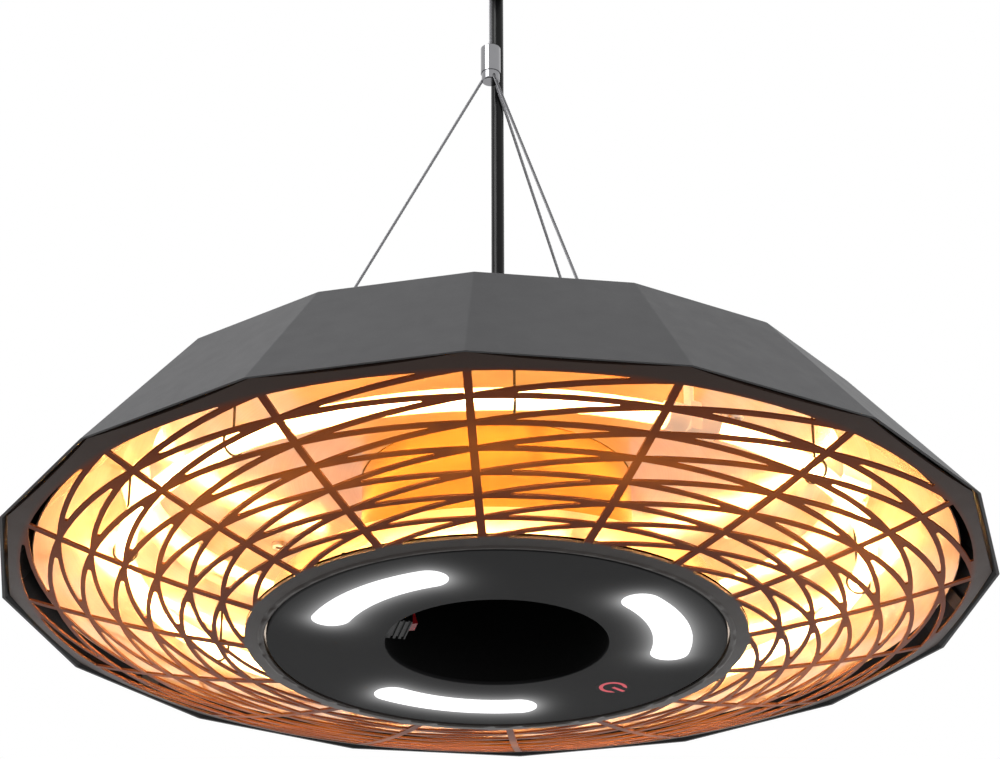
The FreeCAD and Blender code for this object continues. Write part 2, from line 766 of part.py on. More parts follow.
# Drum between the hub tray and the top plate.
panel_z = rim_z - hub_drop + panel_recess
panel_top = panel_z + panel_sheet
tray_top = panel_top + hub_room
tray_under = tray_top - tray_sheet
drum_bore = drum_radius - drum_sheet
drum_flange_radius = drum_radius + drum_flange
drum = fused([ring(drum_radius, drum_bore, tray_top, plate_z),
              ring(drum_flange_radius, drum_bore, tray_top, tray_top + drum_sheet),
              ring(drum_flange_radius, drum_bore, plate_z - drum_sheet, plate_z)])
drum_holes = [hole_at(drum_screw_circle, azimuth, screw_radius + seat_gap, tray_top, plate_z)
              for azimuth in quarter_azimuths]
save("drum", cut_all(drum, drum_holes))
drum_screw = screw(top_z, shell_sheet + drum_sheet + screw_reach)
tray_screw = turned_over(screw(0.0, tray_sheet + drum_sheet + screw_reach), tray_under)
drum_screws = [shifted(one, drum_screw_circle, azimuth) for azimuth in quarter_azimuths
               for one in (drum_screw, tray_screw)]
save("drum_screws", group(drum_screws))

# Two half-ring lamps in one plane, with a holder block at each gap and wire clips along them.
lamp_circle = shoulder_radius - lamp_inset
cap_start = math.degrees(math.asin(lamp_block_width / 2 / (lamp_circle - lamp_cap_radius)))
filaments = []
lamp_caps = []
lamp_clips = []
for half, name in enumerate(("lamp_right", "lamp_left")):
    gap = lamp_gap_azimuth + 180.0 * half
    start = gap + lamp_end_angle
    end = gap + 180.0 - lamp_end_angle
    tube = arc_tube(lamp_circle, quartz_radius, start, end, lamp_z)
    save(name, tube.cut(arc_tube(lamp_circle, quartz_radius - quartz_wall, start, end, lamp_z)))
    filaments.append(arc_tube(lamp_circle, filament_radius, start, end, lamp_z))
    lamp_caps.append(arc_tube(lamp_circle, lamp_cap_radius, gap + cap_start, start, lamp_z))
    lamp_caps.append(arc_tube(lamp_circle, lamp_cap_radius, end, gap + 180.0 - cap_start, lamp_z))
    for step in range(clips_per_lamp):
        hoop_radius = quartz_radius + clip_wire_radius + run_gap
        hoop = Part.makeTorus(hoop_radius, clip_wire_radius, vector(0, -lamp_circle, lamp_z), vector(1, 0, 0))
        wire = round_bar(clip_wire_radius, lamp_z + hoop_radius, top_z, 0, -lamp_circle)
        clip = fused([hoop, wire]).cut(over_dish)
        lamp_clips.append(turned(clip, start + (end - start) * (step + 0.5) / clips_per_lamp))
save("lamp_filaments", group(filaments))
save("lamp_ends", group(lamp_caps))
save("lamp_clips", group(lamp_clips))
holder_low = lamp_z - lamp_block_height / 2
holder = fused([block(lamp_block_width, lamp_block_depth, lamp_block_height,
                      vector(0, -lamp_circle, holder_low)),
                round_bar(lamp_stem_radius, lamp_z, top_z, 0, -lamp_circle)]).cut(over_dish)
save("lamp_holders", group([turned(holder, lamp_gap_azimuth + 180.0 * half) for half in range(2)]))

# Domed grille: one sector of slits between two ribs, repeated round the axis.
slits = []
for row in range(rows):
    slits += slit_pair(inner_row_radius + row * row_pitch)
edge_radius = rim_radius - grille_edge_gap / math.cos(half_corner)
rim_line = [place(edge_radius, corner_angle, sector_low), place(edge_radius, 0, sector_low)]
bore_line = [place(grille_bore, 0, sector_low), place(grille_bore, corner_angle, sector_low)]
bore_arc = Part.Arc(bore_line[0], place(grille_bore, corner_angle / 2, sector_low), bore_line[1]).toShape()
outline = [bore_arc, Part.makeLine(bore_line[1], rim_line[0]), Part.makeLine(*rim_line),
           Part.makeLine(rim_line[1], bore_line[0])]
sector = Part.Face(Part.Wire(outline)).cut(Part.makeCompound(slits))
sector = sector.extrude(vector(0, 0, sector_top - sector_low)).common(dome_sheet())
grille_parts = [turned(sector, k * corner_angle) for k in range(rim_corners)]
bead_low = grille_bore + bead_inset
bead_high = bead_low + bead_width
bead_mid = (bead_low + bead_high) / 2
bead_arc = Part.Arc(vector(bead_low, 0, dome_height(bead_low) + weld_sink),
                    vector(bead_mid, 0, dome_height(bead_mid) - bead_depth),
                    vector(bead_high, 0, dome_height(bead_high) + weld_sink)).toShape()
bead_back = Part.makeLine(bead_arc.Vertexes[1].Point, bead_arc.Vertexes[0].Point)
bead = Part.Face(Part.Wire([bead_arc, bead_back])).revolve(vector(0, 0, 0), UP, 360)
collar_radius = inner_row_radius + strut_width / 2 - collar_set_back
collar = ring(collar_radius, collar_radius - grille_sheet, dome_height(collar_radius) + weld_sink,
              grille_top(collar_radius) + collar_height)
flange_low = grille_top(tray_radius + tray_flange) + seat_gap
nut_low = flange_low + tray_sheet
hub_pin = round_bar(hub_pin_radius, dome_height(hub_pin_circle) + weld_sink,
                    nut_low + hub_nut_height + hub_pin_proud)
hub_pins = [shifted(hub_pin, hub_pin_circle, azimuth) for azimuth in hub_pin_azimuths]
save("grille", fused(grille_parts + [bead, collar] + hub_pins))

# Clips that hold the grille's edge to the shell.
foot_outer = shell_flat(rim_z + clip_bend_rise) - shell_inset - seat_gap
leg_top = rim_z + clip_height
leg_outer = shell_flat(leg_top) - shell_inset - seat_gap
foot_inner = outer_row_radius
leg_inset = clip_sheet * facet_spread
foot_rise = grille_top(foot_outer) + seat_gap
clip_points = [(foot_inner, grille_top(foot_inner) + seat_gap), (foot_outer - leg_inset / 2, foot_rise),
               (foot_outer, rim_z + clip_bend_rise), (leg_outer, leg_top), (leg_outer - leg_inset, leg_top),
               (foot_outer - leg_inset, foot_rise + 2 * clip_sheet),
               (foot_inner, grille_top(foot_inner) + seat_gap + clip_sheet)]
clip_corners = [vector(-clip_width / 2, -r, z) for r, z in clip_points + clip_points[:1]]
clip_face = Part.Face(Part.makePolygon(clip_corners))
grille_clip = clip_face.extrude(vector(clip_width, 0, 0))
clip_step = 360.0 / clip_count
save("grille_clips",
     group([turned(grille_clip, corner_angle / 2 + k * clip_step) for k in range(clip_count)]))

# Hub tray behind the panel, nutted to the grille's pins.
tray = fused([ring(tray_radius, drum_bore, tray_under, tray_top),
              ring(tray_radius, tray_radius - tray_sheet, flange_low, tray_top),
              ring(tray_radius + tray_flange, tray_radius - tray_sheet, flange_low, nut_low)])
tray_cuts = []
for azimuth in quarter_azimuths:
    tray_cuts.append(hole_at(drum_screw_circle, azimuth, screw_radius + seat_gap, tray_under, tray_top))
for azimuth in hub_pin_azimuths:
    tray_cuts.append(hole_at(hub_pin_circle, azimuth, hub_pin_radius + loose_gap, flange_low, nut_low))
for azimuth in panel_post_azimuths:
    tray_cuts.append(hole_at(panel_post_circle, azimuth, screw_radius + seat_gap, tray_under, tray_top))
save("hub_tray", cut_all(tray, tray_cuts))
hub_nut = hexagon(hub_nut_radius, nut_low, nut_low + hub_nut_height, 0, 0)
hub_nut = hub_nut.cut(round_bar(hub_pin_radius + run_gap, nut_low, nut_low + hub_nut_height))
save("hub_nuts", group([shifted(hub_nut, hub_pin_circle, azimuth) for azimuth in hub_pin_azimuths]))

# Hub panel with three light windows, the touch key and the recess.
board_z = panel_top + light_board_lift
upstand_radius = tray_radius - tray_sheet - seat_gap
panel = round_bar(panel_radius, panel_z, panel_top).cut(round_bar(recess_radius, panel_z, panel_top))
panel = rounded(panel, panel_edge_round, panel_z, panel_radius)
panel = rounded(panel, recess_edge_round, panel_z, recess_radius)
light_post = round_bar(light_post_radius, panel_top - weld_sink, board_z)
panel_post = round_bar(light_post_radius, panel_top - weld_sink, tray_under)
upstand = ring(upstand_radius, upstand_radius - panel_upstand, panel_top - weld_sink,
               panel_top + upstand_height)
panel_parts = [panel, upstand]
panel_parts += [shifted(light_post, light_post_circle, azimuth) for azimuth in light_post_azimuths]
panel_parts += [shifted(panel_post, panel_post_circle, azimuth) for azimuth in panel_post_azimuths]
panel_cuts = [turned(bean(window_width, window_span, panel_z, panel_top), azimuth)
              for azimuth in window_azimuths]
panel_cuts.append(hole_at(key_circle, key_azimuth, key_radius, panel_z, panel_z + key_sheet))
small_bore = small_screw_radius + run_gap
for azimuth in light_post_azimuths:
    panel_cuts.append(hole_at(light_post_circle, azimuth, small_bore, board_z - screw_reach, board_z))
for azimuth in panel_post_azimuths:
    panel_cuts.append(hole_at(panel_post_circle, azimuth, screw_radius + run_gap,
                              tray_under - 2 * screw_reach, tray_under))
save("hub_panel", cut_all(fused(panel_parts), panel_cuts))
panel_screw = screw(tray_top, tray_sheet + screw_reach)
save("panel_screws",
     group([shifted(panel_screw, panel_post_circle, azimuth) for azimuth in panel_post_azimuths]))

gap_angle = 2 * math.degrees(seat_gap / window_radius)
lip_angle = 2 * math.degrees(lens_lip / window_radius)
lens_body = bean(window_width - 2 * seat_gap, window_span - gap_angle, panel_z, panel_top)
lens_back = bean(window_width + 2 * lens_lip, window_span + lip_angle, panel_top, panel_top + lens_lip_sheet)
lens = fused([lens_body, lens_back])
save("light_lenses", group([turned(lens, azimuth) for azimuth in window_azimuths]))
light_board = ring(light_board_outer, light_board_inner, board_z, board_z + board_sheet)
board_holes = [hole_at(light_post_circle, azimuth, small_bore, board_z, board_z + board_sheet)
               for azimuth in light_post_azimuths]
save("light_board", cut_all(light_board, board_holes))
light_screw = screw(board_z + board_sheet, board_sheet + screw_reach / 2, small_screw_radius,
                    small_head_radius)
save("light_board_screws",
     group([shifted(light_screw, light_post_circle, azimuth) for azimuth in light_post_azimuths]))
chip = block(chip_size, chip_size, chip_height, vector(0, -window_radius, board_z - chip_height))
chip_angle = (window_span - 2 * chip_margin) / (chips_per_window - 1)
chips = []
for azimuth in window_azimuths:
    for step in range(chips_per_window):
        chips.append(turned(chip, azimuth - window_span / 2 + chip_margin + step * chip_angle))
save("light_chips", group(chips))
driver = block(driver_length, driver_width, driver_height, vector(0, -window_radius, board_z + board_sheet))
save("light_driver", turned(driver.makeFillet(relay_round, upright_edges(driver)), driver_azimuth))

# Touch key with its lit symbol let into it, and the sensor board behind the panel.
key = round_bar(key_radius - seat_gap, panel_z, panel_z + key_sheet, 0, -key_circle)
symbol_top = panel_z + symbol_depth
loop = ring(symbol_radius, symbol_radius - symbol_line, panel_z, symbol_top, 0, -key_circle)
break_width = 2 * symbol_radius * math.sin(math.radians(symbol_break / 2))
loop_break = block(break_width, symbol_radius, symbol_depth,
                   vector(0, -key_circle - symbol_radius / 2, panel_z))
bar_length = symbol_radius + symbol_line / 2
bar = block(symbol_line, bar_length, symbol_depth, vector(0, -key_circle - bar_length / 2, panel_z))
symbol = [turned(one, key_azimuth) for one in (loop.cut(loop_break), bar)]
save("key_symbol", group(symbol))
save("touch_key", cut_all(turned(key, key_azimuth), symbol))
sensor = block(sensor_length, sensor_width, board_sheet, vector(0, -key_circle, panel_top))
save("touch_board", turned(sensor, key_azimuth))

# Recess cup in the middle of the hub, closed at its top.
cup_top = rim_z + cup_rise
cup = fused([ring(cup_radius, recess_radius, panel_top, cup_top),
             round_bar(cup_radius, cup_top - cup_wall, cup_top),
             ring(cup_radius + cup_flange, recess_radius, panel_top, panel_top + cup_wall)])
save("recess_cup", cup)

# Mains switch on the cup's wall, with a rocker that turns on two stub axles.
switch_z = panel_z + switch_lift
switch_face = recess_radius - switch_depth
body = block(switch_width, 2 * switch_depth, switch_height,
             vector(0, -switch_face - switch_depth, switch_z - switch_height / 2))
body = body.common(round_bar(recess_radius - seat_gap, switch_z - switch_height, switch_z + switch_height))
axle_y = rocker_proud - rocker_thickness / 2 - switch_face
pocket_height = rocker_height + 2 * rocker_room
switch_cuts = [block(rocker_width + 2 * loose_gap, 2 * rocker_pocket_depth, pocket_height,
                     vector(0, -switch_face, switch_z - pocket_height / 2))]
bore_length = rocker_width + 2 * (rocker_axle_length + loose_gap)
switch_cuts.append(Part.makeCylinder(rocker_axle_radius + run_gap, bore_length,
                                     vector(-bore_length / 2, axle_y, switch_z),
                                     vector(1, 0, 0)))
for step in range(switch_ribs):
    groove_y = -switch_face - switch_rib_pitch * (step + 0.5)
    groove = block(2 * switch_width, switch_rib_pitch / 2, switch_height,
                   vector(0, groove_y, switch_z - switch_height / 2))
    core = block(switch_width - 2 * switch_rib_depth, switch_rib_pitch, switch_height,
                 vector(0, groove_y, switch_z - switch_height / 2 + switch_rib_depth))
    switch_cuts.append(groove.cut(core))
save("switch_block", turned(cut_all(body, switch_cuts), switch_azimuth))
half_height = rocker_height / 2
half_thick = rocker_thickness / 2
rocker_points = [(-half_thick, -half_height), (-half_thick, half_height), (half_thick, half_height),
                 (half_thick - rocker_dip, 0), (half_thick, -half_height)]
rocker_corners = [vector(-rocker_width / 2, axle_y + y, switch_z + z) for y, z in rocker_points]
rocker = Part.Face(Part.makePolygon(rocker_corners + rocker_corners[:1])).extrude(vector(rocker_width, 0, 0))
axle_length = rocker_width + 2 * rocker_axle_length
axle = Part.makeCylinder(rocker_axle_radius, axle_length, vector(-axle_length / 2, axle_y, switch_z),
                         vector(1, 0, 0))
rocker = fused([rocker, axle])
rocker.rotate(vector(0, axle_y, switch_z), vector(1, 0, 0), rocker_tilt)
save("switch_rocker", turned(rocker, switch_azimuth))
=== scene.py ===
import math

import bmesh
import bpy
from bpy.props import FloatProperty, FloatVectorProperty, IntProperty, PointerProperty
from mathutils import Matrix, Vector


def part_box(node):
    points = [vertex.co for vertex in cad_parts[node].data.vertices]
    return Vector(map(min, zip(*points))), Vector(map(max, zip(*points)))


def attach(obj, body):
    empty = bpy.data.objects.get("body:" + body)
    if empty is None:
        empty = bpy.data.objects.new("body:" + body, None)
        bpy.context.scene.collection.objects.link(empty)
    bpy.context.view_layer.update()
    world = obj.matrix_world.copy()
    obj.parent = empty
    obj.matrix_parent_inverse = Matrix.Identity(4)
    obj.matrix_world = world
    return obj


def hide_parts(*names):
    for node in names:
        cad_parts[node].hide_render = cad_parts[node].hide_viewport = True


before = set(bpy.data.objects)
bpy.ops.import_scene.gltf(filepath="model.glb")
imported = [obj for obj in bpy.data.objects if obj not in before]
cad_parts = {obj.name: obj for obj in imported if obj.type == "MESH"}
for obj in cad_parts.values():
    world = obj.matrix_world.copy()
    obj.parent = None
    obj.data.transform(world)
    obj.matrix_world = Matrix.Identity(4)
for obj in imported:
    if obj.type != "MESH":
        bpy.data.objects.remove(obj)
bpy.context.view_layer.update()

bl_info = {
    "name": "Pendant infrared heater",
    "version": (1, 0, 0),
    "blender": (4, 5, 0),
    "location": "View3D > Sidebar > Heater",
    "description": "Dresses the heater's pieces and sets its stage",
    "category": "Object",
}

# Heights of the housing, in metres, with the origin on the ceiling and +Z up.
RIM_Z = -0.448
TOP_Z = RIM_Z + 0.0797

# Inside of the housing: from where a face counts as looking inwards, and the painted shade on those faces
# as a share of the coat's colour.
INWARD_LIMIT = -0.01
INNER_PAINTED_SHADE = 0.12

# Light windows in the hub panel, and the strength of the painted halo of light round them.
WINDOW_COUNT = 3
WINDOW_RADIUS = 0.094
WINDOW_WIDTH = 0.021
WINDOW_SPAN = math.radians(58.5)
FIRST_WINDOW = math.radians(-41.5)
PANEL_FACE_Z = RIM_Z - 0.032
HALO_STRENGTH = 0.5

# Half-ring lamps: their tubes stay dark next to the gaps, and the coil's turns are for a whole ring.
LAMP_CIRCLE = 0.200
LAMP_GAP = math.radians(31.0)
TUBE_DARK = math.radians(4.3)
TUBE_LIT = math.radians(6.5)
COIL_TURNS = 1100.0

# Grille: its rows of slits, where one coat fades into the next, the high faces by the hub ring that get
# painted shade, and the ring of painted lamp light on the struts.
INNER_ROW = 0.1346
OUTER_ROW = 0.2559
STRUT_FADE = (INNER_ROW, INNER_ROW + 0.002)
FLANGE_FADE = (OUTER_ROW - 0.003, OUTER_ROW + 0.001)
COLLAR_RADIUS = INNER_ROW + 0.0016
COLLAR_Z = RIM_Z - 0.0309
GLOW_WIDTH = 0.030

# Leg wires, from the ferrule's middle to the three anchors on the top plate.
LEG_APEX = Vector((-0.0029, 0.0, RIM_Z + 0.3368))
LEG_AZIMUTHS = tuple(math.radians(angle) for angle in (-95.0, 25.0, 145.0))
LEG_FOOT_RADIUS = 0.1398
LEG_FOOT_Z = TOP_Z + 0.00666
LEG_START_RADIUS = 0.0032
LEG_END_GAP = 0.0075

# Wires and cord: their straight run at each end, in diameters, and how finely they are drawn. The core of
# a wire ends inside the circle of its strands by a share of a strand's radius.
RUN_OUT = 6
SPLINE_ORDER = 3
ROPE_STEPS = 110
STRAND_SIDES = 6
CORE_INSET = 0.6
CORD_STEPS = 12
CORD_BEVEL = 6

# Stage: the two soft lights, the floor, and the camera's place and turn.
KEY_SPOT = (-1.6, -1.8, 0.9)
KEY_TARGET = (0.0, 0.0, -0.4)
KEY_SIZE = 1.6
FILL_SPOT = (2.0, -1.2, -0.6)
FILL_TARGET = (0.0, 0.0, -0.42)
FILL_SIZE = 1.4
FLOOR_HALF = 6.0
CAMERA_SPOT = (0.0721, -1.3629, -1.0361)
CAMERA_PITCH = math.radians(27.62)
CAMERA_HEADING = math.radians(2.941)
CAMERA_ROLL = math.radians(-0.193)
CAMERA_REACH = 60.0
SENSOR_WIDTH_MM = 36.0

# Shine of the surfaces that aren't metal, as their shader's specular level.
COAT_SHINE = 0.18
STRUT_SHINE = 0.05
PLASTIC_SHINE = 0.12
PANEL_SHINE = 0.04
CORD_SHINE = 0.18
FLOOR_SHINE = 0.1

# Noise of the surfaces; lines and bands are counted per metre.
NOISE_ROUGHNESS = 0.55
HAIRLINES = 1800.0
HAIRLINE_BANDS = 90.0
HAIRLINE_DRIFT = 0.6
BAND_OFFSET = 3.0
SHEATH_STREAKS = (2600.0, 2600.0, 60.0)

# Fixed colours and tints of the small pieces; a pair holds the two ends of a slight change.
BLACK = (0.0, 0.0, 0.0)
WHITE = (1.0, 1.0, 1.0)
COAT_SPECKLE = ((0.82, 0.82, 0.82), (1.18, 1.18, 1.18))
TUBE_END = (0.05, 0.03, 0.02)
QUARTZ = ((0.85, 0.80, 0.75), (1.0, 0.97, 0.92))
CERAMIC = (0.82, 0.78, 0.72)
CLIP_WIRE = (0.08, 0.07, 0.06)
# Colour of the painted halo of light round the panel's windows.
PANEL_HALO = (0.62, 0.62, 0.62)
LENS_GLOW = ((0.97, 0.97, 0.98), (1.0, 1.0, 1.0))
LENS_FACE = ((0.90, 0.90, 0.90), (0.96, 0.96, 0.96))
SYMBOL_GLOW = ((0.72, 0.03, 0.06), (0.90, 0.06, 0.10))
SYMBOL_FACE = ((0.50, 0.02, 0.04), (0.60, 0.03, 0.05))
ROCKER_RED = (0.62, 0.02, 0.03)
BOARD_GREEN = (0.03, 0.16, 0.07)
MOULDING_BLACK = (0.02, 0.02, 0.022)
MOULDING_WHITE = (0.80, 0.79, 0.76)
CHIP_YELLOW = (0.85, 0.66, 0.12)
FLOOR_PALE = ((0.86, 0.86, 0.86), (0.90, 0.90, 0.90))
FLOOR_BOUNCE = (0.25, 0.25, 0.25)


def colour_property(name, description, default):
    """Colour that a user can pick."""
    return FloatVectorProperty(name=name, description=description, default=default, size=3,
                               min=0.0, max=1.0, subtype="COLOR")


class HeaterCoat(bpy.types.PropertyGroup):
    """Colours of the coated sheet, the plastics and the rubber."""
    shell: colour_property("Shell", "Powder coat on the housing", (0.066, 0.066, 0.069))
    # Partly painted lamp light: the flange's warm brown tint and lighter tone stand for light falling on a
    # near-black coat.
    flange: colour_property("Flange", "Coat on the grille's outer flange", (0.085, 0.053, 0.042))
    # Painted lamp light: the struts' brown is the lamps' warm light painted into a near-black coat.
    strut: colour_property("Strut", "Coat on the grille's struts, browned by heat", (0.100, 0.045, 0.034))
    # Partly painted lamp light: the hub ring is a lighter trim coat, made lighter still for the lamps'
    # light on it.
    hub_ring: colour_property("Hub ring", "Coat on the grille's hub ring", (0.115, 0.102, 0.095))
    panel: colour_property("Panel", "Plastic of the hub panel", (0.018, 0.018, 0.019))
    recess: colour_property("Recess", "Plastic inside the hub's recess", (0.003, 0.003, 0.003))
    rubber: colour_property("Rubber", "Sheath of the mains cord", (0.0025, 0.0025, 0.0025))
    grain: FloatProperty(name="Grain", description="Height of the coat's grain", default=0.00006,
                         min=0.0, max=0.001, unit="LENGTH")


class HeaterGlow(bpy.types.PropertyGroup):
    """Light that the heater gives by itself, and the painted light on its struts, lamp ends and panel."""
    lamp: colour_property("Lamp", "Colour of the hot filaments", (1.0, 0.50, 0.155))
    lamp_strength: FloatProperty(name="Lamp strength", description="Emission of the filaments",
                                 default=330.0, min=0.0)
    tube: colour_property("Tube", "Glow of the quartz tubes", (1.0, 0.45, 0.09))
    tube_strength: FloatProperty(name="Tube strength", description="Emission of the quartz tubes",
                                 default=1.9, min=0.0)
    # Painted lamp light: the lamps' ceramic ends glow in this colour by emission.
    ceramic: colour_property("Ceramic", "Light that the lamps' ends pass on", (0.55, 0.33, 0.20))
    # Painted lamp light: the struts glow in these two colours by emission, though they are no lamp.
    warm: colour_property("Warm", "Glow of the struts over the reflector", (0.060, 0.012, 0.003))
    hot: colour_property("Hot", "Glow of the struts right under the lamps", (0.30, 0.070, 0.004))
    window_strength: FloatProperty(name="Window strength", description="Emission of the light windows",
                                   default=1.25, min=0.0)
    # Painted light: how far the halo painted round the windows reaches.
    halo_reach: FloatProperty(name="Halo reach", description="How far the light spreads on the panel",
                              default=0.005, min=0.001, unit="LENGTH")


class HeaterMetal(bpy.types.PropertyGroup):
    """Colours of the bare metals and the make of the steel wires."""
    reflector: colour_property("Reflector", "Rolled sheet of the reflector", (0.98, 0.75, 0.60))
    drum: colour_property("Drum", "Anodised sheet of the drum", (0.92, 0.57, 0.14))
    chrome: colour_property("Chrome", "Plated fittings", (0.27, 0.27, 0.28))
    steel: colour_property("Steel", "Strands of the hanging wires", (0.24, 0.24, 0.25))
    zinc: colour_property("Zinc", "Plated screws and brackets", (0.55, 0.55, 0.57))
    strands: IntProperty(name="Strands", description="Outer strands of each steel wire",
                         default=6, min=3, max=12)
    lay_length: FloatProperty(name="Lay length", description="Length of one turn of the wire's strands",
                              default=0.014, min=0.002, unit="LENGTH")


class HeaterStage(bpy.types.PropertyGroup):
    """Room around the heater."""
    room_light: FloatProperty(name="Room light", description="Strength of the light from all round",
                              default=0.35, min=0.0)
    key_power: FloatProperty(name="Key power", description="Power of the large soft light",
                             default=42.0, min=0.0, unit="POWER")
    fill_power: FloatProperty(name="Fill power", description="Power of the second soft light",
                              default=6.5, min=0.0, unit="POWER")
    floor_lift: FloatProperty(name="Floor lift", description="White added where the floor is looked at",
                              default=0.62, min=0.0, max=1.0)
    floor_z: FloatProperty(name="Floor", description="Height of the floor under the ceiling",
                           default=-2.4, unit="LENGTH")
    lens: FloatProperty(name="Lens", description="Focal length of the camera",
                        default=98.69, min=10.0, unit="CAMERA")


def node(tree, kind, inputs=None, **settings):
    """New shader node with its settings and inputs, which are values or other nodes' outputs."""
    made = tree.nodes.new("ShaderNode" + kind)
    for key, value in settings.items():
        setattr(made, key, value)
    for key, value in (inputs or {}).items():
        if isinstance(value, bpy.types.NodeSocket):
            tree.links.new(value, made.inputs[key])
        else:
            made.inputs[key].default_value = value
    return made


def calc(tree, operation, first, second=0.0, third=None):
    """Result of one math node on values or other nodes' outputs."""
    inputs = {0: first, 1: second}
    if third is not None:
        inputs[2] = third
    return node(tree, "Math", inputs, operation=operation).outputs[0]


def spread(tree, factor, low, high, start=0.0, end=1.0):
    """Maps a factor between start and end to values between low and high."""
    inputs = {"Value": factor, "From Min": start, "From Max": end, "To Min": low, "To Max": high}
    return node(tree, "MapRange", inputs).outputs[0]


def blend(tree, first, second, share):
    """Sum of two factors, the first with its share and the second with the rest."""
    rest = calc(tree, "MULTIPLY", second, 1.0 - share)
    return calc(tree, "ADD", calc(tree, "MULTIPLY", first, share), rest)


def tint(tree, factor, dark, light, mode="MIX"):
    """Mix of two colours, which are values or other nodes' outputs."""
    ends = [one if isinstance(one, bpy.types.NodeSocket) else (*one, 1.0) for one in (dark, light)]
    # The node's colours are its inputs 6 and 7 and its output 2; the others are for plain numbers.
    inputs = {0: factor, 6: ends[0], 7: ends[1]}
    return node(tree, "Mix", inputs, data_type="RGBA", blend_type=mode).outputs[2]


def shade(colour, factor):
    """Darker or lighter shade of a colour."""
    return tuple(min(1.0, part * factor) for part in colour)


def mottle(tree, factor, colour, darkest, lightest):
    """One colour that changes between two shades of itself."""
    return tint(tree, factor, shade(colour, darkest), shade(colour, lightest))


def place_of(tree):
    """Point of the surface in the frame's own metres."""
    return node(tree, "TexCoord").outputs["Object"]


def vector_of(tree, x, y, z):
    """Vector of three numbers or outputs."""
    return node(tree, "CombineXYZ", {0: x, 1: y, 2: z}).outputs[0]


def length_of(tree, x, y):
    """Length of a flat vector."""
    squares = calc(tree, "ADD", calc(tree, "MULTIPLY", x, x), calc(tree, "MULTIPLY", y, y))
    return calc(tree, "SQRT", squares)


def polar(tree):
    """Radius, azimuth and height about the heater's axis."""
    x, y, z = node(tree, "SeparateXYZ", {0: place_of(tree)}).outputs
    azimuth = calc(tree, "ARCTAN2", x, calc(tree, "MULTIPLY", y, -1.0))
    return length_of(tree, x, y), azimuth, z


def noise(tree, scale, detail=3.0, vector=None):
    """Soft noise over the surface, or over another vector."""
    inputs = {"Vector": vector or place_of(tree), "Scale": scale, "Detail": detail}
    return node(tree, "TexNoise", {**inputs, "Roughness": NOISE_ROUGHNESS}).outputs[0]


def bump(tree, height, distance):
    """Normal of a surface that stands up by a distance where the height is 1."""
    return node(tree, "Bump", {"Height": height, "Distance": distance, "Strength": 1.0}).outputs[0]


def seen(tree):
    """1 where a surface is looked at straight, in a mirror or through glass, else 0."""
    path = node(tree, "LightPath").outputs
    mirrored = calc(tree, "MAXIMUM", path["Is Glossy Ray"], path["Is Transmission Ray"])
    return calc(tree, "MAXIMUM", path["Is Camera Ray"], mirrored)


def finish(name, sockets=None):
    """New material with a principled surface, its tree and the surface node."""
    material = bpy.data.materials.new(name)
    material.use_nodes = True
    tree = material.node_tree
    tree.nodes.clear()
    surface = node(tree, "BsdfPrincipled", sockets)
    node(tree, "OutputMaterial", {"Surface": surface.outputs[0]})
    return material, tree, surface


def surface_of(tree):
    """Principled surface of a material's tree."""
    return next(one for one in tree.nodes if one.type == "BSDF_PRINCIPLED")


def join(tree, output, surface, socket):
    """Links an output to one of the surface's sockets."""
    tree.links.new(output, surface.inputs[socket])


def dress(material, *names):
    """Gives CAD nodes their one material."""
    for name in names:
        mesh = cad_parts[name].data
        mesh.materials.clear()
        mesh.materials.append(material)


def powder_coat(name, lay_colours, roughness, grain):
    """Grained coat in the colours that a function lays out on the material's tree."""
    material, tree, surface = finish(name, {"Specular IOR Level": COAT_SHINE})
    clouds = noise(tree, scale=24.0, detail=2.0)
    grains = noise(tree, scale=1500.0, detail=2.0)
    speckle = tint(tree, blend(tree, clouds, grains, share=0.6), *COAT_SPECKLE)
    join(tree, tint(tree, 1.0, lay_colours(tree), speckle, "MULTIPLY"), surface, "Base Color")
    wear = noise(tree, scale=90.0)
    join(tree, spread(tree, wear, low=roughness - 0.06, high=roughness + 0.06), surface, "Roughness")
    join(tree, bump(tree, grains, grain), surface, "Normal")
    return material


def moulded(name, colour, roughness, grain, shine=PLASTIC_SHINE):
    """Plastic, ceramic or rubber with a fine grain and faint clouds."""
    material, tree, surface = finish(name, {"Specular IOR Level": shine})
    clouds = noise(tree, scale=40.0)
    grains = noise(tree, scale=2400.0, detail=1.0)
    join(tree, mottle(tree, clouds, colour, darkest=0.85, lightest=1.15), surface, "Base Color")
    join(tree, spread(tree, grains, low=roughness - 0.05, high=roughness + 0.07), surface, "Roughness")
    join(tree, bump(tree, grains, grain), surface, "Normal")
    return material


def plated(name, colour, roughness):
    """Plated metal with faint smears."""
    material, tree, surface = finish(name, {"Metallic": 1.0})
    smear = noise(tree, scale=220.0, detail=4.0)
    pits = noise(tree, scale=900.0)
    join(tree, mottle(tree, smear, colour, darkest=0.93, lightest=1.05), surface, "Base Color")
    join(tree, spread(tree, smear, low=roughness * 0.7, high=roughness * 1.4), surface, "Roughness")
    join(tree, bump(tree, pits, distance=0.00001), surface, "Normal")
    return material


